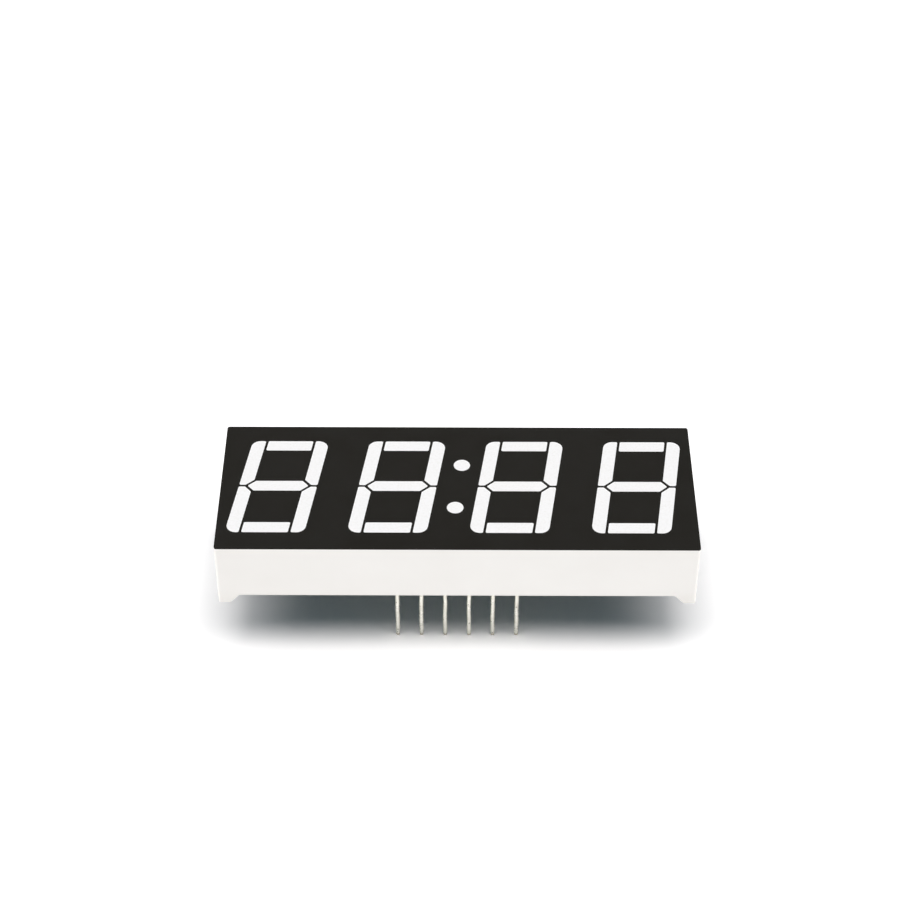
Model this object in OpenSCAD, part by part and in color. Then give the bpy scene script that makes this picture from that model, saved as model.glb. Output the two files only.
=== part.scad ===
// Four-digit seven-segment display with a centre colon and twelve wire pins.
// The origin is the middle of the pin pattern, on the seating plane under the four feet.
// +X runs along the digits, +Y up the digits and +Z out of the face.

/* [Housing] */
// Overall length along the digits
body_l = 50.3; // [49.5:0.1:54]
// Overall width up the digits
body_w = 19; // [18.6:0.1:22]
// Height from the seating plane to the face
body_h = 8; // [7:0.1:10]
// Thickness of the rim round the back recess
rim_t = 1; // [0.8:0.05:1.2]
// Radius of the housing's upright edges
edge_r = 0.25; // [0.1:0.05:0.5]
// Height of the corner feet below the rim
foot_h = 1.1; // [0.8:0.1:1.8]
// Length of each foot on the seating plane, along both walls
foot_l = 1.25; // [0.8:0.05:2]
// Run of each foot's sloped flank, up to the rim
foot_flank = 1; // [0.3:0.05:2]

/* [Face] */
// Thickness of the black face mask
mask_t = 0.15; // [0.08:0.01:0.3]
// Thickness of the housing's front over the coring pockets, without the mask
front_t = 1.2; // [0.8:0.1:2]
// Wall between a coring pocket and the nearest light well
core_wall = 0.7; // [0.5:0.05:1]

/* [Digits] */
// Face left at each end of the row of digits, halfway up a digit
end_margin = 1.95; // [1.5:0.05:3]
// Gap between neighbouring digits, measured along X
digit_gap = 4.4; // [3.6:0.05:5.2]
// Height of a digit
digit_h = 14.2; // [12:0.1:15]
// Lean of the digits to the right, in degrees
slant = 8; // [0:0.5:10]
// Width of the upright strokes, measured along X
stroke_w = 1.45; // [1.1:0.05:1.7]
// Height of the level bars
bar_h = 1.5; // [1.1:0.05:1.7]
// Gap between neighbouring segments
seg_gap = 0.28; // [0.15:0.01:0.35]
// Distance from a digit's side to the tip of its middle bar
nose_inset = 0.92; // [0.7:0.02:1.1]
// Radius of a digit's four outer corners
digit_r = 1; // [0.3:0.1:1.2]
// Radius of a segment's other corners
seg_r = 0.15; // [0.05:0.01:0.2]

/* [Colon] */
// Diameter of the colon dots
dot_d = 1.75; // [1.4:0.05:2.2]
// Height between the two dots
dot_spacing = 6.6; // [5:0.1:8]
// Sideways step from the lower dot to the upper one
dot_lean = 0.7; // [0:0.05:1]
// Sideways place of the colon, from the middle of the face
colon_x = 0.12; // [-0.3:0.02:0.3]

/* [Light wells] */
// Straight depth of a well below the face, before it narrows
well_land = 0.8; // [0.5:0.05:1.5]
// Length of a well where it meets the circuit board
well_floor_l = 2.4; // [1.8:0.1:3.2]
// Width of a well where it meets the circuit board
well_floor_w = 1; // [0.9:0.02:1.08]
// Diameter of a dot's well where it meets the circuit board
dot_floor_d = 1.3; // [1.2:0.05:1.38]

/* [Circuit board and resin] */
// Thickness of the circuit board
board_t = 1.2; // [0.8:0.1:1.6]
// Gap round the circuit board, filled with resin
board_gap = 0.15; // [0.05:0.01:0.2]
// Thickness of the resin over the back of the circuit board
resin_t = 0.8; // [0.65:0.05:1.2]
// Depth of the resin's surface below the rim
resin_recess = 0.2; // [0.1:0.02:0.5]

/* [Chips] */
// Width of a chip
chip_w = 0.32; // [0.24:0.02:0.4]
// Height of a chip
chip_h = 0.12; // [0.08:0.01:0.16]
// Thickness of the soft coat over a chip and its wires
coat_t = 0.45; // [0.4:0.01:0.6]
// Diameter of a bond wire
wire_d = 0.03; // [0.02:0.005:0.04]
// Reach of a bond wire's arch, from the chip to its pad
wire_span = 0.36; // [0.3:0.01:0.4]

/* [Pins] */
// Diameter of the wire pins
pin_d = 0.5; // [0.4:0.02:0.6]
// Length of the pins below the seating plane
pin_l = 6.7; // [3:0.1:10]
// Distance between neighbouring pins
pin_pitch = 2.54; // [2:0.02:2.8]
// Distance from a row of pins to the wall of the back recess
pin_inset = 0.88; // [0.75:0.01:2]
// Chamfer round a pin's cut end
tip_cut = 0.08; // [0.02:0.01:0.15]
// Width of a pin's flattened root, along X
root_w = 0.62; // [0.52:0.02:0.7]
// Thickness of a pin's flattened root
root_t = 0.36; // [0.25:0.01:0.45]
// Length of the flattened root that stands out of the resin
root_show = 0.15; // [0.05:0.01:0.18]
// Diameter of the plated holes for the pins
hole_d = 0.9; // [0.85:0.01:1]
// Diameter of a solder joint on the back of the circuit board
solder_d = 1.3; // [1.1:0.05:1.4]
// Height of a solder joint
solder_h = 0.5; // [0.3:0.05:0.6]

/* [Hidden] */
$fn = 48;
arc_steps = 3;
arc_steps_per_mm = 4;
wire_sides = 6;
overshoot = 0.5;
digit_count = 4;
pins_per_row = 6;
pin_count = 2 * pins_per_row;
letters = ["a", "b", "c", "d", "e", "f", "g"];
dot_names = ["colon_dot_lower", "colon_dot_upper"];

rim_z = foot_h;
resin_z = rim_z + resin_recess;
board_z = resin_z + resin_t;
floor_z = board_z + board_t;
coat_z = floor_z + coat_t;
mask_z = body_h - mask_t;
taper_z = body_h - well_land;
well_cut_h = body_h - floor_z + overshoot;
recess_l = body_l - 2 * rim_t;
recess_w = body_w - 2 * rim_t;
recess_r = edge_r;
row_spacing = recess_w - 2 * pin_inset;
digit_w = (body_l - 2 * end_margin - (digit_count - 1) * digit_gap) / digit_count;
digit_pitch = digit_w + digit_gap;
lean = tan(slant);
half_w = digit_w / 2;
half_h = digit_h / 2;

function segment_name(d, s) = str("digit_", d, "_segment_", s);
function pin_name(p) = str("pin_", p);
function unit(v) = v / norm(v);

// Points of an outline whose corners are [x, y, radius], taken counterclockwise
function rounded(corners) = let (n = len(corners))
    [for (i = [0 : n - 1]) each fillet(corners[(i + n - 1) % n], corners[i], corners[(i + 1) % n])];
function fillet(before, corner, after) = let (
    r = corner.z,
    p = [corner.x, corner.y],
    back = unit([before.x, before.y] - p),
    on = unit([after.x, after.y] - p),
    half = acos(back * on) / 2,
    centre = p + unit(back + on) * r / sin(half),
    start = p + back * r / tan(half) - centre,
    angle = atan2(start.y, start.x),
    steps = ceil(arc_steps + arc_steps_per_mm * r),
    turn = (180 - 2 * half) / steps
) r == 0 ? [p] : [for (i = [0 : steps]) centre + r * [cos(angle + i * turn), sin(angle + i * turn)]];
function rectangle(l, w, r) =
    [[-l / 2, -w / 2, r], [l / 2, -w / 2, r], [l / 2, w / 2, r], [-l / 2, w / 2, r]];

// A digit is drawn upright, and leaned moves each point sideways by its height
function leaned(p) = [p.x + p.y * lean, p.y, p.z];
function mirrored(corners, mx, my) = let (m = [for (p = corners) [p.x * mx, p.y * my, p.z]])
    mx * my > 0 ? m : [for (i = [len(m) - 1 : -1 : 0]) m[i]];

// The upper left stroke, with a flank at its foot that runs along the nose of the middle bar
stroke_flat = nose_inset + seg_gap / 2 - seg_gap * sqrt(2);
stroke_corners = [
    [-half_w, seg_gap / 2, seg_r],
    [-half_w + stroke_flat, seg_gap / 2, seg_r],
    [-half_w + stroke_w, seg_gap / 2 + stroke_w - stroke_flat, seg_r],
    [-half_w + stroke_w, half_h, seg_r],
    [-half_w, half_h, digit_r]
];
bar_half_l = half_w - stroke_w - seg_gap;
bar_corners = [
    [-bar_half_l, half_h - bar_h, seg_r],
    [bar_half_l, half_h - bar_h, seg_r],
    [bar_half_l, half_h, seg_r],
    [-bar_half_l, half_h, seg_r]
];
nose_half_l = half_w - nose_inset;
nose_corners = [
    [-nose_half_l, 0, seg_r],
    [-nose_half_l + bar_h / 2, -bar_h / 2, seg_r],
    [nose_half_l - bar_h / 2, -bar_h / 2, seg_r],
    [nose_half_l, 0, seg_r],
    [nose_half_l - bar_h / 2, bar_h / 2, seg_r],
    [-nose_half_l + bar_h / 2, bar_h / 2, seg_r]
];

// Which side of the digit a segment is on, as [left or right, lower or upper]
function side(s) = [
    s == "b" || s == "c" ? 1 : s == "e" || s == "f" ? -1 : 0,
    s == "a" || s == "b" || s == "f" ? 1 : s == "g" ? 0 : -1
];
function upright(s) = side(s).x != 0;
function segment_corners(s) = upright(s) ? mirrored(stroke_corners, -side(s).x, side(s).y)
    : s == "g" ? nose_corners
    : mirrored(bar_corners, 1, side(s).y);
function segment_middle(s) = upright(s)
    ? [side(s).x * (digit_w - stroke_w) / 2, side(s).y * (half_h + seg_gap / 2) / 2, 0]
    : [0, side(s).y * (half_h - bar_h / 2), 0];

// Half sizes of a well along X and Y, at the end of its land and on its floor
function well_half(s) = upright(s) ? [stroke_w / 2, (half_h - seg_gap / 2) / 2]
    : [s == "g" ? nose_half_l : bar_half_l, bar_h / 2];
function floor_half(s) = (upright(s) ? [well_floor_w, well_floor_l] : [well_floor_l, well_floor_w]) / 2;

function digit_place(d) = [(d - (digit_count + 1) / 2) * digit_pitch, 0, 0];
function dot_place(i) = [colon_x + (i - 0.5) * dot_lean, (i - 0.5) * dot_spacing, 0];

// Pins are numbered counterclockwise from the lower left one, seen from the face
function pin_row(p) = p <= pins_per_row ? -1 : 1;
function pin_place(p) = [
    -pin_row(p) * ((p - 1) % pins_per_row - (pins_per_row - 1) / 2) * pin_pitch,
    pin_row(p) * row_spacing / 2,
    0
];

module slab(corners, z, h) translate([0, 0, z]) linear_extrude(h) polygon(rounded(corners));

// Cross-section of a well's two sloped walls, drawn on past both ends of the taper
module taper_profile(top_half, bottom_half) {
    slope = (top_half - bottom_half) / (taper_z - floor_z);
    low = floor_z - overshoot;
    high = body_h + overshoot;
    wide = bottom_half + slope * (high - floor_z);
    narrow = bottom_half + slope * (low - floor_z);
    polygon([[-narrow, low], [narrow, low], [wide, high], [-wide, high]]);
}
module taper(top, bottom) intersection() {
    rotate([90, 0, -slant]) linear_extrude(2 * digit_h, center = true)
        taper_profile(top.x * cos(slant), bottom.x * cos(slant));
    rotate([90, 0, 90]) linear_extrude(2 * digit_w, center = true)
        taper_profile(top.y, bottom.y);
}
module segment_outline(s, z, h) slab([for (p = segment_corners(s)) leaned(p)], z, h);
module segment_well(d, s, z, h) translate(digit_place(d)) intersection() {
    segment_outline(s, z, h);
    translate([leaned(segment_middle(s)).x, segment_middle(s).y, 0]) taper(well_half(s), floor_half(s));
}
module dot_well(i, z, h) {
    slope = (dot_d - dot_floor_d) / 2 / (taper_z - floor_z);
    low = floor_z - overshoot;
    high = body_h + overshoot;
    translate(dot_place(i)) intersection() {
        translate([0, 0, z]) cylinder(h = h, d = dot_d);
        translate([0, 0, low]) cylinder(
            h = high - low,
            r1 = dot_floor_d / 2 - slope * overshoot,
            r2 = dot_floor_d / 2 + slope * (high - floor_z)
        );
    }
}

// Air pockets that core the housing from the back: two in each digit and one in each plain gap
module coring_pockets() {
    pocket_h = mask_z - front_t - floor_z + overshoot;
    counter_half = half_w - stroke_w - core_wall;
    counter_low = bar_h / 2 + core_wall;
    counter_high = half_h - bar_h - core_wall;
    counter = [
        [-counter_half, counter_low, 0],
        [counter_half, counter_low, 0],
        [counter_half, counter_high, 0],
        [-counter_half, counter_high, 0]
    ];
    gap_pocket = rectangle(digit_pitch - digit_w - 2 * core_wall, digit_h - 2 * core_wall, 0);
    for (d = [1 : digit_count], my = [-1, 1]) translate(digit_place(d))
        slab([for (p = mirrored(counter, 1, my)) leaned(p)], floor_z - overshoot, pocket_h);
    for (d = [1 : digit_count - 1]) if (2 * d != digit_count)
        translate((digit_place(d) + digit_place(d + 1)) / 2)
            slab([for (p = gap_pocket) leaned(p)], floor_z - overshoot, pocket_h);
}

// Clears the rim's underside between two feet, along a wall of the given length
module foot_gap(wall_l) {
    low = wall_l / 2 - foot_l;
    high = low - foot_flank;
    run = overshoot * foot_flank / foot_h;
    linear_extrude(2 * body_l, center = true) polygon([
        [-low - run, -overshoot], [low + run, -overshoot], [high, rim_z], [-high, rim_z]
    ]);
}

module housing() color("whitesmoke") difference() {
    slab(rectangle(body_l, body_w, edge_r), 0, mask_z);
    slab(rectangle(recess_l, recess_w, recess_r), -overshoot, floor_z + overshoot);
    rotate([90, 0, 0]) foot_gap(body_l);
    rotate([90, 0, 90]) foot_gap(body_w);
    for (d = [1 : digit_count], s = letters) segment_well(d, s, floor_z - overshoot, well_cut_h);
    for (i = [0, 1]) dot_well(i, floor_z - overshoot, well_cut_h);
    coring_pockets();
}
module face_mask() color([0.16, 0.16, 0.15]) difference() {
    slab(rectangle(body_l, body_w, edge_r), mask_z, mask_t);
    for (d = [1 : digit_count], s = letters) translate(digit_place(d))
        segment_outline(s, mask_z - overshoot, mask_t + 2 * overshoot);
    for (i = [0, 1]) translate(dot_place(i) + [0, 0, mask_z - overshoot])
        cylinder(h = mask_t + 2 * overshoot, d = dot_d);
}
module segment(d, s) color("white") segment_well(d, s, coat_z, body_h - coat_z);
module dot(i) color("white") dot_well(i, coat_z, body_h - coat_z);

module board_slab(h)
    slab(rectangle(recess_l - 2 * board_gap, recess_w - 2 * board_gap, recess_r), board_z, h);
module circuit_board() color("darkgreen") difference() {
    board_slab(board_t);
    for (p = [1 : pin_count]) translate(pin_place(p) + [0, 0, board_z - overshoot])
        cylinder(h = board_t + 2 * overshoot, d = hole_d);
}

// Puts its child on the board at the middle of every well, turned along the well
module on_each_floor() {
    for (d = [1 : digit_count], s = letters)
        translate(digit_place(d) + leaned(segment_middle(s)) + [0, 0, floor_z])
            rotate([0, 0, upright(s) ? 90 : 0]) children();
    for (i = [0, 1]) translate(dot_place(i) + [0, 0, floor_z]) children();
}
module chip() translate([-chip_w / 2, -chip_w / 2, 0]) cube([chip_w, chip_w, chip_h]);

// An arch from the top of the chip, then straight down to a pad on the board, on both sides
module wire_pair() for (turn = [0, 180]) rotate([0, 0, turn])
    translate([chip_w / 4 + wire_span / 2, 0, chip_h]) {
        rotate([90, 0, 0]) rotate_extrude(angle = 180)
            translate([wire_span / 2, 0]) circle(d = wire_d, $fn = wire_sides);
        translate([wire_span / 2, 0, -chip_h]) cylinder(h = chip_h, d = wire_d, $fn = wire_sides);
    }
module led_chips() color("gold") on_each_floor() chip();
module bond_wires() color("goldenrod") on_each_floor() wire_pair();
module die_coats() color("lightyellow") difference() {
    union() {
        for (d = [1 : digit_count], s = letters) segment_well(d, s, floor_z, coat_t);
        for (i = [0, 1]) dot_well(i, floor_z, coat_t);
    }
    on_each_floor() {
        chip();
        wire_pair();
    }
}

// The flattened root runs from just outside the resin to the front of the board
module pin_root(p) translate(pin_place(p) + [-root_w / 2, -root_t / 2, resin_z - root_show])
    cube([root_w, root_t, floor_z - resin_z + root_show]);
module pin(p) color("silver") {
    translate(pin_place(p) + [0, 0, tip_cut - pin_l])
        cylinder(h = pin_l - tip_cut + resin_z - root_show, d = pin_d);
    translate(pin_place(p) + [0, 0, -pin_l]) cylinder(h = tip_cut, d1 = pin_d - 2 * tip_cut, d2 = pin_d);
    pin_root(p);
}
module solder_fillet(p) translate(pin_place(p) + [0, 0, board_z - solder_h])
    cylinder(h = solder_h, d1 = root_w, d2 = solder_d);
module solder_joints() color("lightgray") for (p = [1 : pin_count]) difference() {
    union() {
        solder_fillet(p);
        translate(pin_place(p) + [0, 0, board_z]) cylinder(h = board_t, d = hole_d);
    }
    pin_root(p);
}
module potting_resin() color("beige") difference() {
    slab(rectangle(recess_l, recess_w, recess_r), resin_z, floor_z - resin_z);
    board_slab(board_t + overshoot);
    for (p = [1 : pin_count]) {
        solder_fillet(p);
        pin_root(p);
    }
}

housing();
face_mask();
circuit_board();
led_chips();
bond_wires();
die_coats();
solder_joints();
potting_resin();
for (i = [0, 1]) dot(i);
for (d = [1 : digit_count], s = letters) segment(d, s);
for (p = [1 : pin_count]) pin(p);
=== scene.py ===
import math
import bmesh
import bpy
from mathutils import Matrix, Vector


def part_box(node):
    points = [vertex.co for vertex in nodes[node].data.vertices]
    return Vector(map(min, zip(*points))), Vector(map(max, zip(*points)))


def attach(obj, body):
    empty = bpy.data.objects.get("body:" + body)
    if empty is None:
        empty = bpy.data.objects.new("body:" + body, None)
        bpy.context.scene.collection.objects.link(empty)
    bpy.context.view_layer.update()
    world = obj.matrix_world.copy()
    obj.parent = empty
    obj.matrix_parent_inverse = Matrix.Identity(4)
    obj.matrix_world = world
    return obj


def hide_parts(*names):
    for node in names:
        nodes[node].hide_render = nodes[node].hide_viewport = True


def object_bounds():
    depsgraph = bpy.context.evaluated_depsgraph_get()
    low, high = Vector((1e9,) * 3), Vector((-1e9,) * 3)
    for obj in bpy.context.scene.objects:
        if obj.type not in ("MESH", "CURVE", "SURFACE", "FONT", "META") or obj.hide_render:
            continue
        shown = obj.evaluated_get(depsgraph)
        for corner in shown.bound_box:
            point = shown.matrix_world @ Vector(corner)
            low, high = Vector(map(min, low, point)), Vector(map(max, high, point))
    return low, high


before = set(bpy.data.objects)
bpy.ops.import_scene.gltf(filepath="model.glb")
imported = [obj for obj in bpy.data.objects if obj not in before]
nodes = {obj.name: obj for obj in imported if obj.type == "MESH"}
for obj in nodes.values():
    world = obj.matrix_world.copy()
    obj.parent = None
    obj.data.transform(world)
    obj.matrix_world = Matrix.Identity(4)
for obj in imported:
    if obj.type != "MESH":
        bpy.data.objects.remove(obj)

mm = 0.001
slack = 0.01 * mm  # what still counts as lying on a face
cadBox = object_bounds()
scene = bpy.context.scene
scene.view_settings.view_transform = "Standard"
print("frame loaded:", len(nodes), "solids")

# Sockets known by number: a Mix node's two colours and its result, and the limits of a Map Range node
colourA, colourB, mixed = 6, 7, 2
fromLow, fromHigh, toLow, toHigh = 1, 2, 3, 4


def linear(hexCode):  # sRGB hex to linear RGBA
    parts = [int(hexCode[i:i + 2], 16) / 255 for i in (1, 3, 5)]
    return [p / 12.92 if p <= 0.04045 else ((p + 0.055) / 1.055) ** 2.4 for p in parts] + [1]


def noiseScale(size):  # for a noise or cell pattern of this size in millimetres
    return 1 / (size * mm)


def waveScale(spacing):  # for waves this far apart, because a wave node repeats every pi / 10 / scale
    return math.pi / 10 / (spacing * mm)


def addNode(tree, kind, sockets=None, **settings):  # a socket takes a value, or a link from another socket
    node = tree.nodes.new(kind)
    for name, value in settings.items():
        setattr(node, name, value)
    for name, value in (sockets or {}).items():
        if isinstance(value, bpy.types.NodeSocket):
            tree.links.new(value, node.inputs[name])
        else:
            node.inputs[name].default_value = value
    return node


def newMaterial(name):
    material = bpy.data.materials.new(name)
    material.use_nodes = True
    material.node_tree.nodes.clear()
    return material, material.node_tree


def place(pieceName, mesh, slotName, *replaced):  # mesh already lies where it belongs
    piece = bpy.data.objects.new(pieceName, mesh)
    scene.collection.objects.link(piece)
    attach(piece, "root")
    if replaced:
        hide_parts(*replaced)
    return piece


def mergedCopy(nodeName, weld=0.0005, flatAngle=0.5):  # joins the solid's loose triangles
    bm = bmesh.new()
    bm.from_mesh(nodes[nodeName].data)
    bmesh.ops.remove_doubles(bm, verts=bm.verts, dist=weld * mm)
    bmesh.ops.dissolve_limit(bm, angle_limit=math.radians(flatAngle), verts=bm.verts, edges=bm.edges)
    return bm


def toMesh(bm, meshName, material, sharpAngle=30):
    mesh = bpy.data.meshes.new(meshName)
    for face in bm.faces:
        face.smooth = True
    bm.to_mesh(mesh)
    bm.free()
    mesh.set_sharp_from_angle(angle=math.radians(sharpAngle))
    mesh.materials.append(material)
    return mesh


def weighEdges(bm, sizes, chosen):  # marks the sharp edges that a Bevel is to round
    weight = bm.edges.layers.float.new("bevel_weight_edge")
    for edge in bm.edges:
        if chosen(edge) and math.degrees(edge.calc_face_angle(0)) > sizes["minAngle"]:
            edge[weight] = 1.0


def roundEdges(piece, modifierName, sizes):
    bevel = piece.modifiers.new(modifierName, "BEVEL")
    bevel.limit_method = "WEIGHT"
    bevel.width = sizes["edgeRadius"] * mm
    bevel.segments = sizes["edgeSteps"]
    bevel.harden_normals = True


def newTree(treeName, sizes):  # a Geometry Nodes tree with one named input for each size
    tree = bpy.data.node_groups.new(treeName, "GeometryNodeTree")
    tree.interface.new_socket("Geometry", in_out="INPUT", socket_type="NodeSocketGeometry")
    tree.interface.new_socket("Geometry", in_out="OUTPUT", socket_type="NodeSocketGeometry")
    for name, value in sizes.items():
        kind = "NodeSocketInt" if isinstance(value, int) else "NodeSocketFloat"
        tree.interface.new_socket(name, in_out="INPUT", socket_type=kind)
    return tree, addNode(tree, "NodeGroupInput").outputs


def endTree(tree, parts, material, smooth):  # ends in one real mesh, because the export drops instances
    joined = addNode(tree, "GeometryNodeJoinGeometry")
    for part in parts:
        tree.links.new(part.outputs[0], joined.inputs[0])
    whole = addNode(tree, "GeometryNodeRealizeInstances", {"Geometry": joined.outputs[0]})
    if smooth:
        whole = addNode(tree, "GeometryNodeSetShadeSmooth", {"Geometry": whole.outputs[0]})
    dressed = addNode(tree, "GeometryNodeSetMaterial", {"Geometry": whole.outputs[0], "Material": material})
    addNode(tree, "NodeGroupOutput", {"Geometry": dressed.outputs[0]})


def bakeNodes(meshName, data, tree, sizes, sharpAngle=35):  # runs the tree on data and keeps a plain mesh
    carrier = bpy.data.objects.new(meshName + "Carrier", data)
    scene.collection.objects.link(carrier)
    modifier = carrier.modifiers.new("shape", "NODES")
    modifier.node_group = tree
    sockets = {item.name: item.identifier for item in tree.interface.items_tree if item.in_out == "INPUT"}
    for name, value in sizes.items():
        modifier[sockets[name]] = value
    graph = bpy.context.evaluated_depsgraph_get()
    mesh = bpy.data.meshes.new_from_object(carrier.evaluated_get(graph), depsgraph=graph)
    mesh.name = meshName
    carrier.modifiers.remove(modifier)
    bpy.data.objects.remove(carrier)
    mesh.set_sharp_from_angle(angle=math.radians(sharpAngle))
    return mesh


# Moulded white polycarbonate, loaded with pigment so that no light leaks between the wells.
# The spark-worn mould leaves an even satin skin; the flow of the melt clouds the white by a hair,
# and the white is drawn darker in patches towards the foot of the walls.
# Pattern sizes, depths and heights are in millimetres.
housingFinish = {
    "light": "#f6f3ef", "shade": "#efebe6", "footTone": "#e3ded7", "cloud": 7.0, "footBlotch": 1.6, "footHeight": 2.2,
    "footShare": 0.8, "grain": 0.14, "grainDepth": 0.02, "roughness": (0.4, 0.54)}
housingPlastic, tree = newMaterial("moulded white polycarbonate")
where = addNode(tree, "ShaderNodeTexCoord").outputs["Object"]
cloud = addNode(tree, "ShaderNodeTexNoise", {
    "Vector": where, "Scale": noiseScale(housingFinish["cloud"]), "Detail": 3.0, "Roughness": 0.55})
tint = addNode(tree, "ShaderNodeMix", {
    "Factor": cloud.outputs["Fac"], colourA: linear(housingFinish["shade"]),
    colourB: linear(housingFinish["light"])}, data_type="RGBA")
height = addNode(tree, "ShaderNodeSeparateXYZ", {"Vector": where})
# the white is drawn darker in noisy patches towards the foot of the walls, fading out over the lowest 2.2
# mm
low = addNode(tree, "ShaderNodeMapRange", {
    "Value": height.outputs["Z"], fromLow: housingFinish["footHeight"] * mm, fromHigh: 0.0, toLow: 0.0,
    toHigh: housingFinish["footShare"]}, interpolation_type="SMOOTHSTEP")
footNoise = addNode(tree, "ShaderNodeTexNoise", {
    "Vector": where, "Scale": noiseScale(housingFinish["footBlotch"]), "Detail": 4.0})
darkerFoot = addNode(tree, "ShaderNodeMath", {
    0: low.outputs[0], 1: footNoise.outputs["Fac"]}, operation="MULTIPLY")
colour = addNode(tree, "ShaderNodeMix", {
    "Factor": darkerFoot.outputs[0], colourA: tint.outputs[mixed],
    colourB: linear(housingFinish["footTone"])}, data_type="RGBA")
satin = addNode(tree, "ShaderNodeMapRange", {
    "Value": cloud.outputs["Fac"], fromLow: 0.3, fromHigh: 0.7, toLow: housingFinish["roughness"][0],
    toHigh: housingFinish["roughness"][1]})
# Spark-eroded grain is about 0.03 mm; drawn at 0.14 mm so that it shows.
grain = addNode(tree, "ShaderNodeTexNoise", {
    "Vector": where, "Scale": noiseScale(housingFinish["grain"]), "Detail": 2.0})
skin = addNode(tree, "ShaderNodeBump", {
    "Height": grain.outputs["Fac"], "Strength": 0.12, "Distance": housingFinish["grainDepth"] * mm})
shader = addNode(tree, "ShaderNodeBsdfPrincipled", {
    "Base Color": colour.outputs[mixed], "Roughness": satin.outputs[0], "Normal": skin.outputs[0],
    "IOR": 1.58})
addNode(tree, "ShaderNodeOutputMaterial", {"Surface": shader.outputs[0]})

# Matt black screen ink, a dry film whose pigment and matting powder scatter nearly all gloss.
# The eye gets an even warm charcoal with a faint cloud where the film is thinner.
inkFinish = {
    "thick": "#171613", "thin": "#1e1c18", "cloud": 5.0, "grain": 0.16, "grainDepth": 0.015,
    "roughness": (0.6, 0.78)}
maskInk, tree = newMaterial("matt black screen ink")
where = addNode(tree, "ShaderNodeTexCoord").outputs["Object"]
cloud = addNode(tree, "ShaderNodeTexNoise", {
    "Vector": where, "Scale": noiseScale(inkFinish["cloud"]), "Detail": 4.0, "Roughness": 0.6})
spread = addNode(tree, "ShaderNodeMapRange", {
    "Value": cloud.outputs["Fac"], fromLow: 0.35, fromHigh: 0.65, toLow: 0.2, toHigh: 0.8})
# Matting powder is a few hundredths of a millimetre; drawn at 0.16 mm so that it shows.
powder = addNode(tree, "ShaderNodeTexNoise", {
    "Vector": where, "Scale": noiseScale(inkFinish["grain"]), "Detail": 2.0})
mottle = addNode(tree, "ShaderNodeMath", {
    0: spread.outputs[0], 1: powder.outputs["Fac"]}, operation="MULTIPLY")
colour = addNode(tree, "ShaderNodeMix", {
    "Factor": mottle.outputs[0], colourA: linear(inkFinish["thick"]),
    colourB: linear(inkFinish["thin"])}, data_type="RGBA")
dry = addNode(tree, "ShaderNodeMapRange", {
    "Value": cloud.outputs["Fac"], fromLow: 0.3, fromHigh: 0.7, toLow: inkFinish["roughness"][0],
    toHigh: inkFinish["roughness"][1]})
film = addNode(tree, "ShaderNodeBump", {
    "Height": powder.outputs["Fac"], "Strength": 0.2, "Distance": inkFinish["grainDepth"] * mm})
shader = addNode(tree, "ShaderNodeBsdfPrincipled", {
    "Base Color": colour.outputs[mixed], "Roughness": dry.outputs[0], "Normal": film.outputs[0],
    "Specular IOR Level": 0.1})
addNode(tree, "ShaderNodeOutputMaterial", {"Surface": shader.outputs[0]})

# Milky epoxy, cast into the wells with fine glass powder that spreads the light.
# The eye gets clean white with a soft satin top and the powder as a very faint speckle.
# The powder is a few hundredths of a millimetre; drawn at 0.22 mm so that it shows.
plugFinish = {
    "resin": "#ffffff", "powder": "#f8f8f6", "speckle": 0.22, "speckleDepth": 0.02,
    "roughness": (0.42, 0.55)}
diffuserResin, tree = newMaterial("milky cast epoxy")
where = addNode(tree, "ShaderNodeTexCoord").outputs["Object"]
speckle = addNode(tree, "ShaderNodeTexNoise", {
    "Vector": where, "Scale": noiseScale(plugFinish["speckle"]), "Detail": 2.0, "Roughness": 0.6})
grains = addNode(tree, "ShaderNodeMapRange", {
    "Value": speckle.outputs["Fac"], fromLow: 0.45, fromHigh: 0.75, toLow: 0.0, toHigh: 1.0})
colour = addNode(tree, "ShaderNodeMix", {
    "Factor": grains.outputs[0], colourA: linear(plugFinish["resin"]),
    colourB: linear(plugFinish["powder"])}, data_type="RGBA")
satin = addNode(tree, "ShaderNodeMapRange", {
    "Value": speckle.outputs["Fac"], fromLow: 0.3, fromHigh: 0.7, toLow: plugFinish["roughness"][0],
    toHigh: plugFinish["roughness"][1]})
cast = addNode(tree, "ShaderNodeBump", {
    "Height": speckle.outputs["Fac"], "Strength": 0.06, "Distance": plugFinish["speckleDepth"] * mm})
shader = addNode(tree, "ShaderNodeBsdfPrincipled", {
    "Base Color": colour.outputs[mixed], "Roughness": satin.outputs[0], "Normal": cast.outputs[0],
    "IOR": 1.53, "Specular IOR Level": 0.2})
addNode(tree, "ShaderNodeOutputMaterial", {"Surface": shader.outputs[0]})

# Hot-dipped tin on copper wire: a soft grey-white metal with lines from the drawing die along it,
# dull patches of oxide, a few dark pits where the dip did not wet and barer metal on the cut end.
wireFinish = {
    "tin": "#dbdad1", "oxide": "#c2c1b5", "pit": "#4f4b42", "cutEnd": "#a39c8e", "line": 0.07,
    "stretch": 0.04, "lineDepth": 0.012, "patch": 0.9, "pits": 0.55, "endBand": 0.02,
    "roughness": (0.25, 0.42)}
tinnedWire, tree = newMaterial("hot-dipped tinned copper wire")
where = addNode(tree, "ShaderNodeTexCoord").outputs["Object"]
along = addNode(tree, "ShaderNodeMapping", {"Vector": where, "Scale": (1.0, 1.0, wireFinish["stretch"])})
lines = addNode(tree, "ShaderNodeTexNoise", {
    "Vector": along.outputs[0], "Scale": noiseScale(wireFinish["line"]), "Detail": 2.0})
dull = addNode(tree, "ShaderNodeTexNoise", {
    "Vector": where, "Scale": noiseScale(wireFinish["patch"]), "Detail": 4.0})
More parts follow.
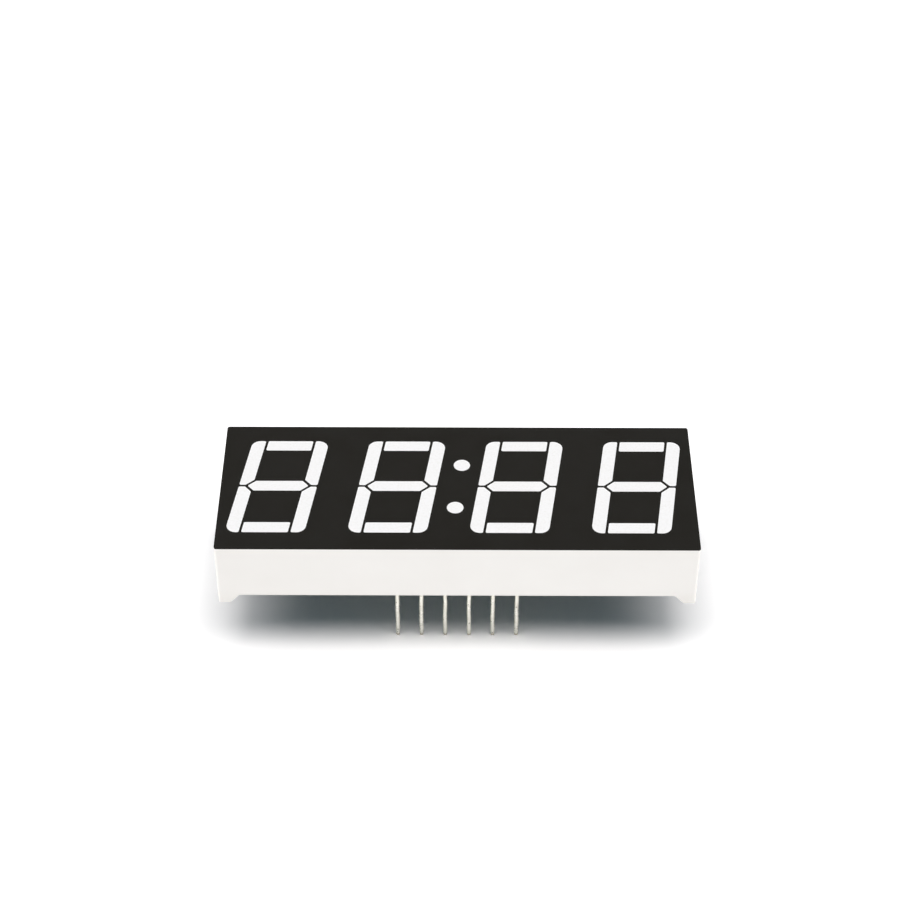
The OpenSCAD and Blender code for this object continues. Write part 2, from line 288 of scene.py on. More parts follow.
patch = addNode(tree, "ShaderNodeMapRange", {
    "Value": dull.outputs["Fac"], fromLow: 0.45, fromHigh: 0.7, toLow: 0.0, toHigh: 0.7})
skinTin = addNode(tree, "ShaderNodeMix", {
    "Factor": patch.outputs[0], colourA: linear(wireFinish["tin"]),
    colourB: linear(wireFinish["oxide"])}, data_type="RGBA")
pits = addNode(tree, "ShaderNodeTexVoronoi", {"Vector": where, "Scale": noiseScale(wireFinish["pits"])})
pit = addNode(tree, "ShaderNodeMapRange", {
    "Value": pits.outputs["Distance"], fromLow: 0.16, fromHigh: 0.1, toLow: 0.0, toHigh: 0.85})
pitted = addNode(tree, "ShaderNodeMix", {
    "Factor": pit.outputs[0], colourA: skinTin.outputs[mixed],
    colourB: linear(wireFinish["pit"])}, data_type="RGBA")
fromTip = addNode(tree, "ShaderNodeAttribute", attribute_name="fromTip")
bare = addNode(tree, "ShaderNodeMapRange", {
    "Value": fromTip.outputs["Fac"], fromLow: wireFinish["endBand"] * mm, fromHigh: 0.0, toLow: 0.0,
    toHigh: 0.8})
colour = addNode(tree, "ShaderNodeMix", {
    "Factor": bare.outputs[0], colourA: pitted.outputs[mixed],
    colourB: linear(wireFinish["cutEnd"])}, data_type="RGBA")
rough = addNode(tree, "ShaderNodeMapRange", {
    "Value": dull.outputs["Fac"], fromLow: 0.35, fromHigh: 0.7, toLow: wireFinish["roughness"][0],
    toHigh: wireFinish["roughness"][1]})
drawn = addNode(tree, "ShaderNodeBump", {
    "Height": lines.outputs["Fac"], "Strength": 0.25, "Distance": wireFinish["lineDepth"] * mm})
shader = addNode(tree, "ShaderNodeBsdfPrincipled", {
    "Base Color": colour.outputs[mixed], "Metallic": 1.0, "Roughness": rough.outputs[0],
    "Normal": drawn.outputs[0]})
addNode(tree, "ShaderNodeOutputMaterial", {"Surface": shader.outputs[0]})

# Glass-cloth laminate under green solder resist: the weave shows through as a fine square relief.
boardFinish = {"resist": "#1f5a35", "weave": "#2b6b42", "thread": 0.5, "threadDepth": 0.02}
boardLaminate, tree = newMaterial("green glass-cloth laminate")
where = addNode(tree, "ShaderNodeTexCoord").outputs["Object"]
warp, weft = [addNode(tree, "ShaderNodeTexWave", {
    "Vector": where, "Scale": waveScale(boardFinish["thread"]), "Distortion": 0.4},
    bands_direction=direction) for direction in "XY"]
cloth = addNode(tree, "ShaderNodeMath", {
    0: warp.outputs["Fac"], 1: weft.outputs["Fac"]}, operation="MULTIPLY")
colour = addNode(tree, "ShaderNodeMix", {
    "Factor": cloth.outputs[0], colourA: linear(boardFinish["resist"]),
    colourB: linear(boardFinish["weave"])}, data_type="RGBA")
relief = addNode(tree, "ShaderNodeBump", {
    "Height": cloth.outputs[0], "Strength": 0.2, "Distance": boardFinish["threadDepth"] * mm})
shader = addNode(tree, "ShaderNodeBsdfPrincipled", {
    "Base Color": colour.outputs[mixed], "Roughness": 0.38, "Normal": relief.outputs[0], "IOR": 1.55})
addNode(tree, "ShaderNodeOutputMaterial", {"Surface": shader.outputs[0]})

# Copper under the same resist: a paler green where the metal lies below, with the etch's soft edges.
trackFinish = {"over": "#3f8a55", "thin": "#57a06a", "blotch": 0.8}
trackCopper, tree = newMaterial("resist-covered copper")
where = addNode(tree, "ShaderNodeTexCoord").outputs["Object"]
blotch = addNode(tree, "ShaderNodeTexNoise", {
    "Vector": where, "Scale": noiseScale(trackFinish["blotch"]), "Detail": 3.0})
colour = addNode(tree, "ShaderNodeMix", {
    "Factor": blotch.outputs["Fac"], colourA: linear(trackFinish["over"]),
    colourB: linear(trackFinish["thin"])}, data_type="RGBA")
shader = addNode(tree, "ShaderNodeBsdfPrincipled", {
    "Base Color": colour.outputs[mixed], "Metallic": 0.35, "Roughness": 0.36})
addNode(tree, "ShaderNodeOutputMaterial", {"Surface": shader.outputs[0]})

# Tin solder, frozen from the melt: bright, with the faint grain of the crystals.
solderFinish = {"bright": "#dcdcd8", "grain": "#b9b9b4", "crystal": 0.12, "roughness": (0.18, 0.36)}
solderTin, tree = newMaterial("tin solder")
where = addNode(tree, "ShaderNodeTexCoord").outputs["Object"]
crystal = addNode(tree, "ShaderNodeTexVoronoi", {
    "Vector": where, "Scale": noiseScale(solderFinish["crystal"])})
colour = addNode(tree, "ShaderNodeMix", {
    "Factor": crystal.outputs["Distance"], colourA: linear(solderFinish["bright"]),
    colourB: linear(solderFinish["grain"])}, data_type="RGBA")
rough = addNode(tree, "ShaderNodeMapRange", {
    "Value": crystal.outputs["Distance"], fromLow: 0.0, fromHigh: 0.8, toLow: solderFinish["roughness"][0],
    toHigh: solderFinish["roughness"][1]})
shader = addNode(tree, "ShaderNodeBsdfPrincipled", {
    "Base Color": colour.outputs[mixed], "Metallic": 1.0, "Roughness": rough.outputs[0]})
addNode(tree, "ShaderNodeOutputMaterial", {"Surface": shader.outputs[0]})

# Clear potting epoxy, poured and cured face down: straw tinted, glossy, with a slow ripple from shrinkage.
pottingFinish = {"tint": "#f3ecd2", "deep": "#eadfb8", "ripple": 3.5, "rippleDepth": 0.1}
clearResin, tree = newMaterial("clear potting epoxy")
where = addNode(tree, "ShaderNodeTexCoord").outputs["Object"]
ripple = addNode(tree, "ShaderNodeTexNoise", {
    "Vector": where, "Scale": noiseScale(pottingFinish["ripple"]), "Detail": 2.0})
colour = addNode(tree, "ShaderNodeMix", {
    "Factor": ripple.outputs["Fac"], colourA: linear(pottingFinish["tint"]),
    colourB: linear(pottingFinish["deep"])}, data_type="RGBA")
surface = addNode(tree, "ShaderNodeBump", {
    "Height": ripple.outputs["Fac"], "Strength": 0.25, "Distance": pottingFinish["rippleDepth"] * mm})
shader = addNode(tree, "ShaderNodeBsdfPrincipled", {
    "Base Color": colour.outputs[mixed], "Roughness": 0.05, "Normal": surface.outputs[0], "IOR": 1.53,
    "Transmission Weight": 0.9})
addNode(tree, "ShaderNodeOutputMaterial", {"Surface": shader.outputs[0]})

# Sapphire-backed chip: a cut crystal with a gold bond pattern on a pale blue-green body.
chipFinish = {"crystal": "#bcd0c4", "metal": "#d8b765", "finger": 0.11}
chipCrystal, tree = newMaterial("cut sapphire chip")
where = addNode(tree, "ShaderNodeTexCoord").outputs["Object"]
finger = addNode(tree, "ShaderNodeTexWave", {
    "Vector": where, "Scale": waveScale(chipFinish["finger"])}, bands_direction="DIAGONAL")
edge = addNode(tree, "ShaderNodeMapRange", {
    "Value": finger.outputs["Fac"], fromLow: 0.6, fromHigh: 0.75, toLow: 0.0, toHigh: 1.0})
colour = addNode(tree, "ShaderNodeMix", {
    "Factor": edge.outputs[0], colourA: linear(chipFinish["crystal"]),
    colourB: linear(chipFinish["metal"])}, data_type="RGBA")
shader = addNode(tree, "ShaderNodeBsdfPrincipled", {
    "Base Color": colour.outputs[mixed], "Metallic": edge.outputs[0], "Roughness": 0.18, "IOR": 1.77})
addNode(tree, "ShaderNodeOutputMaterial", {"Surface": shader.outputs[0]})

# Bond wire, drawn gold: bright yellow metal with the die's fine marks on it.
bondFinish = {"gold": "#e8c36a", "dull": "#c99f48", "line": 0.02}
bondGold, tree = newMaterial("drawn gold wire")
where = addNode(tree, "ShaderNodeTexCoord").outputs["Object"]
lines = addNode(tree, "ShaderNodeTexNoise", {
    "Vector": where, "Scale": noiseScale(bondFinish["line"]), "Detail": 1.0})
colour = addNode(tree, "ShaderNodeMix", {
    "Factor": lines.outputs["Fac"], colourA: linear(bondFinish["gold"]),
    colourB: linear(bondFinish["dull"])}, data_type="RGBA")
shader = addNode(tree, "ShaderNodeBsdfPrincipled", {
    "Base Color": colour.outputs[mixed], "Metallic": 1.0, "Roughness": 0.22})
addNode(tree, "ShaderNodeOutputMaterial", {"Surface": shader.outputs[0]})

# Silicone coat with phosphor powder: soft pale yellow, grainy where the powder settles.
coatFinish = {"silicone": "#efe6b4", "phosphor": "#e2cf6e", "grain": 0.06}
coatSilicone, tree = newMaterial("phosphor-filled silicone")
where = addNode(tree, "ShaderNodeTexCoord").outputs["Object"]
grain = addNode(tree, "ShaderNodeTexNoise", {
    "Vector": where, "Scale": noiseScale(coatFinish["grain"]), "Detail": 3.0})
colour = addNode(tree, "ShaderNodeMix", {
    "Factor": grain.outputs["Fac"], colourA: linear(coatFinish["silicone"]),
    colourB: linear(coatFinish["phosphor"])}, data_type="RGBA")
shader = addNode(tree, "ShaderNodeBsdfPrincipled", {
    "Base Color": colour.outputs[mixed], "Roughness": 0.4, "IOR": 1.41})
addNode(tree, "ShaderNodeOutputMaterial", {"Surface": shader.outputs[0]})
print("materials made:", len(bpy.data.materials))

# Reflector housing: the solid's own shape, with the moulder's small radius on its rim and feet
housing = {"edgeRadius": 0.07, "edgeSteps": 3, "rimHeight": 1.1, "minAngle": 20}
rimTop = housing["rimHeight"] * mm + slack
bm = mergedCopy("housing")
weighEdges(bm, housing, lambda edge: all(v.co.z < rimTop for v in edge.verts))
housingMesh = toMesh(bm, "reflectorHousing", housingPlastic)
housingPiece = place("reflectorHousing", housingMesh, "housing_plastic", "housing")
roundEdges(housingPiece, "moulded radius", housing)
print("housing made:", len(housingMesh.polygons), "faces")

# Face mask: the ink film, with its outer top edge just broken
mask = {"edgeRadius": 0.03, "edgeSteps": 2, "sideBand": 0.3, "minAngle": 60}
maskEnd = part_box("face_mask")[1]
inner = maskEnd - Vector((mask["sideBand"], mask["sideBand"], 0)) * mm


def onOuterTop(edge):
    onTop = all(v.co.z > maskEnd.z - slack for v in edge.verts)
    return onTop and all(abs(v.co.x) > inner.x or abs(v.co.y) > inner.y for v in edge.verts)


bm = mergedCopy("face_mask")
weighEdges(bm, mask, onOuterTop)
maskMesh = toMesh(bm, "faceMask", maskInk)
maskPiece = place("faceMask", maskMesh, "mask_ink", "face_mask")
roundEdges(maskPiece, "broken edge", mask)
print("face mask made:", len(maskMesh.polygons), "faces")

# Diffuser plugs: each keeps its well's shape, and its top sinks a little where the resin shrank
# width and drop of each ring, together narrower than the 0.15 corner radius
plug = {"lip": (0.03, 0.01), "slope": (0.06, 0.014), "middle": (0.03, 0.0)}
plugNames = {f"digit_{d}_segment_{s}": f"plug{d}{s.upper()}" for d in range(1, 5) for s in "abcdefg"}
plugNames.update({"colon_dot_lower": "plugColonLower", "colon_dot_upper": "plugColonUpper"})
for nodeName, pieceName in plugNames.items():
    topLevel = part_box(nodeName)[1].z - slack
    bm = mergedCopy(nodeName)
    cap = [f for f in bm.faces if f.normal.z > 0.9 and f.calc_center_median().z > topLevel]  # facing up
    if len(cap) > 1:
        cap = bmesh.ops.dissolve_faces(bm, faces=cap)["region"]
    for width, drop in plug.values():
        bmesh.ops.inset_region(bm, faces=cap, thickness=width * mm, depth=-drop * mm, use_even_offset=True)
    place(pieceName, toMesh(bm, pieceName, diffuserResin), "diffuser_resin", nodeName)
print("plugs made:", len(plugNames))

# Pin pattern, in millimetres, shared by the wires, their joints, the tracks and the resin
pattern = {"pitch": 2.54, "rowSpacing": 15.24, "perRow": 6}
gridSizes = {
    "Pitch": pattern["pitch"] * mm, "Row spacing": pattern["rowSpacing"] * mm,
    "Pins per row": pattern["perRow"]}
rowY = pattern["rowSpacing"] / 2


def pinX(number):  # pins are counted outwards from the middle of the row
    return (number + 0.5) * pattern["pitch"]


def pinPoints(tree, size):  # one point for each pin, in two rows
    gaps = addNode(tree, "ShaderNodeMath", {0: size["Pins per row"], 1: 1.0}, operation="SUBTRACT")
    span = addNode(tree, "ShaderNodeMath", {0: size["Pitch"], 1: gaps.outputs[0]}, operation="MULTIPLY")
    grid = addNode(tree, "GeometryNodeMeshGrid", {
        "Size X": span.outputs[0], "Size Y": size["Row spacing"], "Vertices X": size["Pins per row"],
        "Vertices Y": 2})
    return grid.outputs[0]


# Wire pins: round wire down to a cut end, slightly wavy from handling, with a flattened root in the board
pin = {
    **gridSizes, "Wire diameter": 0.5 * mm, "Wire points": 48, "Wire sides": 20, "Tip": -6.68 * mm,
    "Tip round": 0.07 * mm, "Tip scale": 0.84, "Wave": 0.2 * mm, "Wave full": -1.5 * mm, "Seed": 4.0,
    "Root bottom": 1.15 * mm, "Root top": 3.29 * mm, "Root width": 0.62 * mm, "Root thickness": 0.36 * mm,
    "Root corner": 0.1 * mm}
wavesPerMetre = (900.0, 700.0, 330.0)  # quick from pin to pin, slow down the wire
tree, size = newTree("wire pins", pin)
pins = pinPoints(tree, size)
wireTop = addNode(tree, "ShaderNodeCombineXYZ", {"Z": size["Root bottom"]})
wireTip = addNode(tree, "ShaderNodeCombineXYZ", {"Z": size["Tip"]})
wire = addNode(tree, "GeometryNodeCurvePrimitiveLine", {
    "Start": wireTop.outputs[0], "End": wireTip.outputs[0]})
steps = addNode(tree, "GeometryNodeResampleCurve", {"Curve": wire.outputs[0], "Count": size["Wire points"]})
spread = addNode(tree, "GeometryNodeInstanceOnPoints", {"Points": pins, "Instance": steps.outputs[0]})
wires = addNode(tree, "GeometryNodeRealizeInstances", {"Geometry": spread.outputs[0]})
# points crowd towards the tip, so that the cut end's small rounding gets enough of them
factor = addNode(tree, "GeometryNodeSplineParameter").outputs["Factor"]
left = addNode(tree, "ShaderNodeMath", {0: 1.0, 1: factor}, operation="SUBTRACT")
crowd = addNode(tree, "ShaderNodeMath", {0: left.outputs[0], 1: 2.0}, operation="POWER")
tipUp = addNode(tree, "ShaderNodeMapRange", {
    "Value": crowd.outputs[0], fromLow: 0.0, fromHigh: 1.0, toLow: size["Tip"],
    toHigh: size["Root bottom"]})
position = addNode(tree, "GeometryNodeInputPosition").outputs[0]
spot = addNode(tree, "ShaderNodeSeparateXYZ", {"Vector": position})
level = addNode(tree, "ShaderNodeCombineXYZ", {
    "X": spot.outputs["X"], "Y": spot.outputs["Y"], "Z": tipUp.outputs[0]})
levelled = addNode(tree, "GeometryNodeSetPosition", {
    "Geometry": wires.outputs[0], "Position": level.outputs[0]})
# the wave is a slow noise down each wire, different for each, and dies out at the root
scaled = addNode(tree, "ShaderNodeVectorMath", {0: position, 1: wavesPerMetre}, operation="MULTIPLY")
noise = addNode(tree, "ShaderNodeTexNoise", {
    "Vector": scaled.outputs[0], "W": size["Seed"], "Scale": 1.0, "Detail": 1.0}, noise_dimensions="4D")
centred = addNode(tree, "ShaderNodeVectorMath", {
    0: noise.outputs["Color"], 1: (0.5, 0.5, 0.5)}, operation="SUBTRACT")
sideways = addNode(tree, "ShaderNodeVectorMath", {
    0: centred.outputs[0], 1: (1.0, 1.0, 0.0)}, operation="MULTIPLY")
# its strength goes by the height from the factor, which is the same before and after the points move
deep = addNode(tree, "ShaderNodeMapRange", {
    "Value": tipUp.outputs[0], fromLow: size["Root bottom"], fromHigh: size["Wave full"], toLow: 0.0,
    toHigh: size["Wave"]}, interpolation_type="SMOOTHSTEP")
sway = addNode(tree, "ShaderNodeVectorMath", {
    0: sideways.outputs[0], "Scale": deep.outputs[0]}, operation="SCALE")
wavy = addNode(tree, "GeometryNodeSetPosition", {
    "Geometry": levelled.outputs[0], "Offset": sway.outputs[0]})
tipGap = addNode(tree, "ShaderNodeMath", {0: tipUp.outputs[0], 1: size["Tip"]}, operation="SUBTRACT")
marked = addNode(tree, "GeometryNodeStoreNamedAttribute", {
    "Geometry": wavy.outputs[0], "Name": "fromTip", "Value": tipGap.outputs[0]},
    data_type="FLOAT", domain="POINT")
# the wire thins over the last stretch in a round curve
inRound = addNode(tree, "ShaderNodeMath", {
    0: tipGap.outputs[0], 1: size["Tip round"]}, operation="DIVIDE", use_clamp=True)
short = addNode(tree, "ShaderNodeMath", {0: 1.0, 1: inRound.outputs[0]}, operation="SUBTRACT")
square = addNode(tree, "ShaderNodeMath", {0: short.outputs[0], 1: 2.0}, operation="POWER")
thick = addNode(tree, "ShaderNodeMapRange", {
    "Value": square.outputs[0], fromLow: 0.0, fromHigh: 1.0, toLow: 1.0, toHigh: size["Tip scale"]})
radius = addNode(tree, "ShaderNodeMath", {0: size["Wire diameter"], 1: 0.5}, operation="MULTIPLY")
ring = addNode(tree, "GeometryNodeCurvePrimitiveCircle", {
    "Resolution": size["Wire sides"], "Radius": radius.outputs[0]})
drawnWire = addNode(tree, "GeometryNodeCurveToMesh", {
    "Curve": marked.outputs[0], "Profile Curve": ring.outputs[0], "Scale": thick.outputs[0],
    "Fill Caps": True})
rootEnd = addNode(tree, "ShaderNodeCombineXYZ", {"Z": size["Root top"]})
rootLine = addNode(tree, "GeometryNodeCurvePrimitiveLine", {
    "Start": wireTop.outputs[0], "End": rootEnd.outputs[0]})
blank = addNode(tree, "GeometryNodeCurvePrimitiveQuadrilateral", {
    "Width": size["Root thickness"], "Height": size["Root width"]})
pressed = addNode(tree, "GeometryNodeFilletCurve", {
    "Curve": blank.outputs[0], "Count": 4, "Radius": size["Root corner"]}, mode="POLY")
root = addNode(tree, "GeometryNodeCurveToMesh", {
    "Curve": rootLine.outputs[0], "Profile Curve": pressed.outputs[0], "Fill Caps": True})
roots = addNode(tree, "GeometryNodeInstanceOnPoints", {"Points": pins, "Instance": root.outputs[0]})
endTree(tree, (drawnWire, roots), tinnedWire, smooth=True)
pinMesh = bakeNodes("wirePins", bpy.data.meshes.new("noPins"), tree, pin)
place("wirePins", pinMesh, "tinned_wire", *[f"pin_{n}" for n in range(1, 13)])
print("wire pins made:", len(pinMesh.polygons), "faces")

# Solder joints: a hollow-sided fillet round each root, and the barrel that fills the plated hole
solder = {
    **gridSizes, "Joint radius": 0.64 * mm, "Neck radius": 0.36 * mm, "Height": 0.5 * mm, "Flare": 2.6,
    "Fillet points": 10, "Sides": 24, "Board back": 2.1 * mm, "Board front": 3.29 * mm,
    "Hole radius": 0.445 * mm}
tree, size = newTree("solder joints", solder)
neckZ = addNode(tree, "ShaderNodeMath", {0: size["Board back"], 1: size["Height"]}, operation="SUBTRACT")
neck = addNode(tree, "ShaderNodeCombineXYZ", {"Z": neckZ.outputs[0]})
foot = addNode(tree, "ShaderNodeCombineXYZ", {"Z": size["Board back"]})
axis = addNode(tree, "GeometryNodeCurvePrimitiveLine", {"Start": neck.outputs[0], "End": foot.outputs[0]})
steps = addNode(tree, "GeometryNodeResampleCurve", {
    "Curve": axis.outputs[0], "Count": size["Fillet points"]})
factor = addNode(tree, "GeometryNodeSplineParameter").outputs["Factor"]
flare = addNode(tree, "ShaderNodeMath", {0: factor, 1: size["Flare"]}, operation="POWER")
width = addNode(tree, "ShaderNodeMapRange", {
    "Value": flare.outputs[0], fromLow: 0.0, fromHigh: 1.0, toLow: size["Neck radius"],
    toHigh: size["Joint radius"]})
ring = addNode(tree, "GeometryNodeCurvePrimitiveCircle", {"Resolution": size["Sides"], "Radius": 1.0})
fillet = addNode(tree, "GeometryNodeCurveToMesh", {
    "Curve": steps.outputs[0], "Profile Curve": ring.outputs[0], "Scale": width.outputs[0],
    "Fill Caps": True})
front = addNode(tree, "ShaderNodeCombineXYZ", {"Z": size["Board front"]})
hole = addNode(tree, "GeometryNodeCurvePrimitiveLine", {"Start": foot.outputs[0], "End": front.outputs[0]})
barrel = addNode(tree, "GeometryNodeCurveToMesh", {
    "Curve": hole.outputs[0], "Profile Curve": ring.outputs[0], "Scale": size["Hole radius"],
    "Fill Caps": True})
joint = addNode(tree, "GeometryNodeJoinGeometry")
for part in (fillet, barrel):
    tree.links.new(part.outputs[0], joint.inputs[0])
joints = addNode(tree, "GeometryNodeInstanceOnPoints", {
    "Points": pinPoints(tree, size), "Instance": joint.outputs[0]})
endTree(tree, (joints,), solderTin, smooth=True)
solderMesh = bakeNodes("solderJoints", bpy.data.meshes.new("noJoints"), tree, solder)
place("solderJoints", solderMesh, "solder", "solder_joints")
print("solder joints made:", len(solderMesh.polygons), "faces")

# Copper tracks on the back of the board: three nested runs in each quarter, from pad to feed-through
track = {
    "Track width": 0.42 * mm, "Track thickness": 0.04 * mm, "Pad radius": 0.8 * mm, "Pad sides": 28,
    "Via radius": 0.42 * mm, "Via sides": 20, "Corner": 0.6 * mm}
runs = [(1.1, 20.6), (2.5, 14.8), (3.9, 22.3)]  # height of each pin's level run and its end, in millimetres
bend = 1.2  # the slant between the pin's column and its level run
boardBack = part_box("circuit_board")[0].z
path = bpy.data.curves.new("trackPath", "CURVE")
path.dimensions = "3D"
for sideX in (-1, 1):
    for sideY in (-1, 1):
        for i, (runY, endX) in enumerate(runs):
            points = [(pinX(i), rowY), (pinX(i), runY + bend), (pinX(i) + bend, runY), (endX, runY)]
            spline = path.splines.new("POLY")
            spline.points.add(len(points) - 1)
            for point, (x, y) in zip(spline.points, points):
                point.co = (sideX * x * mm, sideY * y * mm, boardBack, 1)
tree, size = newTree("copper tracks", track)
given = size["Geometry"]
eased = addNode(tree, "GeometryNodeFilletCurve", {
    "Curve": given, "Count": 4, "Radius": size["Corner"], "Limit Radius": True}, mode="POLY")
upright = addNode(tree, "GeometryNodeSetCurveNormal", {"Curve": eased.outputs[0]}, mode="Z_UP")
strip = addNode(tree, "GeometryNodeCurvePrimitiveQuadrilateral", {
    "Width": size["Track width"], "Height": size["Track thickness"]})
laid = addNode(tree, "GeometryNodeCurveToMesh", {
    "Curve": upright.outputs[0], "Profile Curve": strip.outputs[0], "Fill Caps": True})
padDisc = addNode(tree, "GeometryNodeMeshCylinder", {
    "Vertices": size["Pad sides"], "Radius": size["Pad radius"], "Depth": size["Track thickness"]})
viaDisc = addNode(tree, "GeometryNodeMeshCylinder", {
    "Vertices": size["Via sides"], "Radius": size["Via radius"], "Depth": size["Track thickness"]})
starts = addNode(tree, "GeometryNodeCurveEndpointSelection", {"Start Size": 1, "End Size": 0})
ends = addNode(tree, "GeometryNodeCurveEndpointSelection", {"Start Size": 0, "End Size": 1})
pads = addNode(tree, "GeometryNodeInstanceOnPoints", {
    "Points": given, "Selection": starts.outputs[0], "Instance": padDisc.outputs[0]})
vias = addNode(tree, "GeometryNodeInstanceOnPoints", {
    "Points": given, "Selection": ends.outputs[0], "Instance": viaDisc.outputs[0]})
endTree(tree, (laid, pads, vias), trackCopper, smooth=False)
trackMesh = bakeNodes("copperTracks", path, tree, track)
place("copperTracks", trackMesh, "board_laminate")
print("copper tracks made:", len(trackMesh.polygons), "faces")

# Potting resin: fills the back recess round the board, and creeps up the rim and the pins where it wet them
potting = {  # in millimetres; the bands say how far the close grid lines reach from the walls and the pins
    "creep": 0.13, "reach": 0.3, "pinShare": 0.8, "pinReach": 0.22, "pinRadius": 0.3, "overlap": 0.01,
    "fine": 0.06, "coarse": 0.7, "fineBand": 0.6, "easeBand": 0.5, "pinBand": 0.35}
low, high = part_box("potting_resin")
halfX, halfY, backZ, frontZ = high.x / mm, high.y / mm, low.z / mm, high.z / mm
pinSpots = [
    (sx * pinX(i), sy * rowY) for i in range(pattern["perRow"] // 2) for sx in (-1, 1) for sy in (-1, 1)]


def gridLines(half, marks):  # close lines near the walls and the pins, wide ones between
    lines, at = [], -half
    while at < half - 1e-6:
        lines.append(at)
        near = min([half - abs(at)] + [max(abs(at - m) - potting["pinBand"], 0) for m in marks])
        wide = min(potting["coarse"], max(near - potting["easeBand"], potting["fine"]))
        at += potting["fine"] if near < potting["fineBand"] else wide
    return lines + [half]


def resinBack(x, y):  # height of the free surface, in millimetres
    wall = min(halfX - abs(x), halfY - abs(y))
    rise = math.exp(-max(wall, 0) / potting["reach"])
    for spotX, spotY in pinSpots:
        away = max(math.hypot(x - spotX, y - spotY) - potting["pinRadius"], 0)
        rise = max(rise, potting["pinShare"] * math.exp(-away / potting["pinReach"]))
    return backZ - potting["creep"] * rise


xs = gridLines(halfX, [s[0] for s in pinSpots])
ys = gridLines(halfY, [s[1] for s in pinSpots])
bm = bmesh.new()
grow = potting["overlap"]  # reaches into its neighbours by a hair, so that no two faces lie in one plane
widen, deepen = 1 + grow / halfX, 1 + grow / halfY
rows = []
for y in ys:
    rows.append([bm.verts.new((x * mm * widen, y * mm * deepen, resinBack(x, y) * mm)) for x in xs])
for j in range(len(ys) - 1):
    for i in range(len(xs) - 1):
        bm.faces.new((rows[j][i], rows[j + 1][i], rows[j + 1][i + 1], rows[j][i + 1]))
rim = rows[0] + [r[-1] for r in rows[1:]] + rows[-1][-2::-1] + [r[0] for r in rows[-2:0:-1]]
front = [bm.verts.new((v.co.x, v.co.y, (frontZ + grow) * mm)) for v in rim]
for i, v in enumerate(rim):
    k = (i + 1) % len(rim)
    bm.faces.new((v, rim[k], front[k], front[i]))
bm.faces.new(front)
bmesh.ops.recalc_face_normals(bm, faces=bm.faces)
resinMesh = toMesh(bm, "pottingResin", clearResin, sharpAngle=40)
place("pottingResin", resinMesh, "clear_resin", "potting_resin")
print("potting resin made:", len(resinMesh.polygons), "faces")

# Solids whose shape is right keep it and take their real finish
carried = {
    "circuit_board": boardLaminate, "led_chips": chipCrystal, "bond_wires": bondGold,
    "die_coats": coatSilicone}
for nodeName, material in carried.items():
    nodes[nodeName].data.materials.clear()
    nodes[nodeName].data.materials.append(material)
print("carried solids dressed:", len(carried))


def seenRays(tree):  # 1 for the rays by which the eye, metal and glass see the background, 0 for the rest
    ray = addNode(tree, "ShaderNodeLightPath").outputs
    eye = addNode(tree, "ShaderNodeMath", {
        0: ray["Is Camera Ray"], 1: ray["Is Glossy Ray"]}, operation="MAXIMUM")
    return addNode(tree, "ShaderNodeMath", {
        0: eye.outputs[0], 1: ray["Is Transmission Ray"]}, operation="MAXIMUM").outputs[0]


# Floor: a sheet under the pin tips, white where it is seen and grey where it only throws light on the part
floor = {"size": 8.0, "paper": "#a0a0a0", "seen": 1.39}
half = floor["size"] / 2
ground = cadBox[0].z
corners = [(x * half, y * half, ground) for x, y in ((-1, -1), (1, -1), (1, 1), (-1, 1))]
floorMesh = bpy.data.meshes.new("floorSheet")
floorMesh.from_pydata(corners, [], [(0, 1, 2, 3)])
floorPiece = bpy.data.objects.new("floorSheet", floorMesh)
scene.collection.objects.link(floorPiece)
floorPaper, tree = newMaterial("white paper sheet")
# a glossy ray that left a matt surface only lights that surface, so the sheet stays grey for it
matt = addNode(tree, "ShaderNodeLightPath").outputs["Diffuse Depth"]
straight = addNode(tree, "ShaderNodeMath", {0: matt, 1: 0.5}, operation="LESS_THAN")
shown = addNode(tree, "ShaderNodeMath", {0: seenRays(tree), 1: straight.outputs[0]}, operation="MULTIPLY")
plain = addNode(tree, "ShaderNodeBsdfDiffuse", {"Color": linear(floor["paper"])})
bright = addNode(tree, "ShaderNodeBsdfDiffuse", {"Color": [floor["seen"]] * 3 + [1]})
above = addNode(tree, "ShaderNodeMixShader", {
    0: shown.outputs[0], 1: plain.outputs[0], 2: bright.outputs[0]})
under = addNode(tree, "ShaderNodeBsdfTransparent")  # clear from below, so that the back can be looked at
fromBelow = addNode(tree, "ShaderNodeNewGeometry").outputs["Backfacing"]
oneSided = addNode(tree, "ShaderNodeMixShader", {0: fromBelow, 1: above.outputs[0], 2: under.outputs[0]})
addNode(tree, "ShaderNodeOutputMaterial", {"Surface": oneSided.outputs[0]})
floorMesh.materials.append(floorPaper)

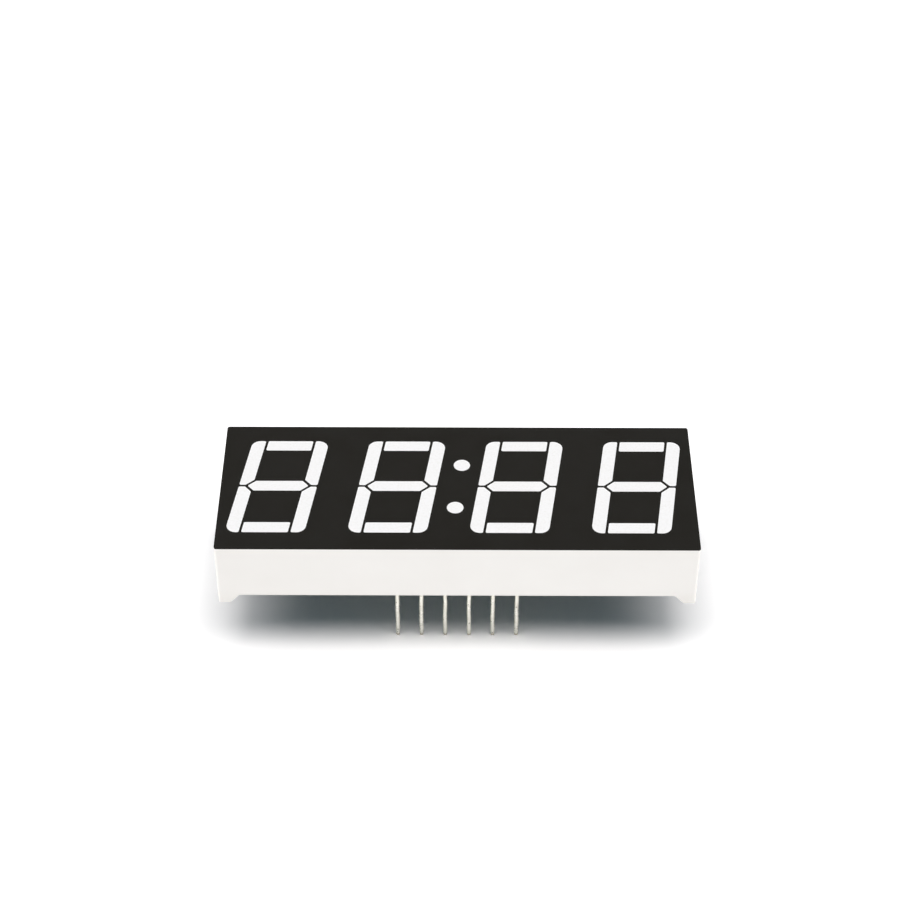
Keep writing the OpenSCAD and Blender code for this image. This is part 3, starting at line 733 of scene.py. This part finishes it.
# World: white where it is seen, a low cool fill where it lights
air = {"fill": "#c4e6ff", "fillLevel": 0.12}
world = bpy.data.worlds.new("studio air")
scene.world = world
world.use_nodes = True
tree = world.node_tree
tree.nodes.clear()
fill = addNode(tree, "ShaderNodeBackground", {"Color": linear(air["fill"]), "Strength": air["fillLevel"]})
white = addNode(tree, "ShaderNodeBackground", {"Color": (1, 1, 1, 1), "Strength": 1.0})
both = addNode(tree, "ShaderNodeMixShader", {0: seenRays(tree), 1: fill.outputs[0], 2: white.outputs[0]})
addNode(tree, "ShaderNodeOutputWorld", {"Surface": both.outputs[0]})

# Lamps: a wide soft bank overhead, leaning to the front, and level ones that light the four walls
lamps = {  # where the light comes from, its share of plain white, its width in degrees
    "bankLeft": ((-0.57, -0.1, 1.0), 0.21, 42),
    "bankMiddle": ((0.0, -0.1, 1.0), 0.46, 42),
    "bankRight": ((0.57, -0.1, 1.0), 0.21, 42),
    "frontLow": ((0.0, -1.0, 0.002), 0.62, 0.2),
    "backLow": ((0.0, 1.0, 0.002), 0.56, 0.2),
    "leftLow": ((-1.0, 0.0, 0.002), 0.48, 0.2),
    "rightLow": ((1.0, 0.0, 0.002), 0.48, 0.2)}
bankColour, lowColour = (1.0, 0.962, 0.94), (1.0, 1.0, 1.0)  # the bank evens out the cool fill
for lampName, (source, share, spreadAngle) in lamps.items():
    lamp = bpy.data.lights.new(lampName, "SUN")
    direction = Vector(source).normalized()
    overhead = lampName.startswith("bank")
    lamp.energy = math.pi * share / (direction.z if overhead else 1)
    lamp.angle = math.radians(spreadAngle)
    lamp.color = bankColour if overhead else lowColour
    lampObject = bpy.data.objects.new(lampName, lamp)
    lampObject.rotation_euler = direction.to_track_quat("Z", "Y").to_euler()
    scene.collection.objects.link(lampObject)

# Camera at the photograph's angle: its spot in millimetres, its line of sight and its roll in radians
view = {
    "lens": 88.18, "sensor": 36, "near": 0.01, "far": 20, "spot": (-0.099, -173.602, 169.037),
    "towards": (-0.00071, 0.7426, -0.66974), "roll": 0.0024}
cameraData = bpy.data.cameras.new("camera")
cameraData.lens = view["lens"]
cameraData.sensor_width = view["sensor"]
cameraData.clip_start, cameraData.clip_end = view["near"], view["far"]
camera = bpy.data.objects.new("camera", cameraData)
camera.location = Vector(view["spot"]) * mm
camera.rotation_euler = Vector(view["towards"]).to_track_quat("-Z", "Y").to_euler()
camera.rotation_euler.rotate_axis("Z", view["roll"])
scene.collection.objects.link(camera)
scene.camera = camera
print("floor, light and camera set")

bpy.context.view_layer.update()
